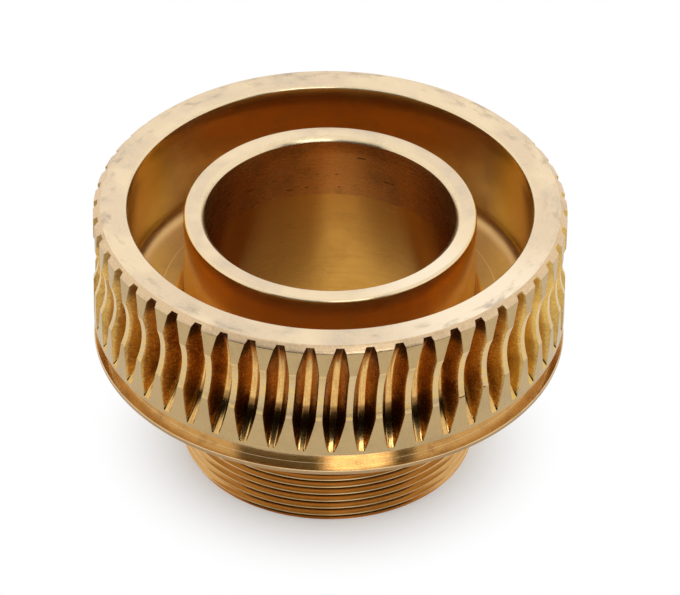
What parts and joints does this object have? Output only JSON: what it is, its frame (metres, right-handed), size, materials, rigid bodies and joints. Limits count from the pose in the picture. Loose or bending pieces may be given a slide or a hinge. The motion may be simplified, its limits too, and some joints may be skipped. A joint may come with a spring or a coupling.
{
  "type": "worm wheel",
  "caption": "One-piece bronze gear wheel with throated, hobbed helical teeth for a worm, an open annular recess round its hub, a plain through bore and a threaded lower hub.",
  "frame": {"origin": "centre of the threaded hub's end face, on the wheel's axis", "axes": "+Z along the bore, from the threaded end towards the open recess; one tooth space lies 2 degrees from -Y towards +X"},
  "size_m": [0.08, 0.08, 0.0484],
  "materials": {
    "bronze": "turned and hobbed, bright, lightly smudged"
  },
  "bodies": {
    "root": {"worm_wheel": "bronze"}
  },
  "joints": []
}
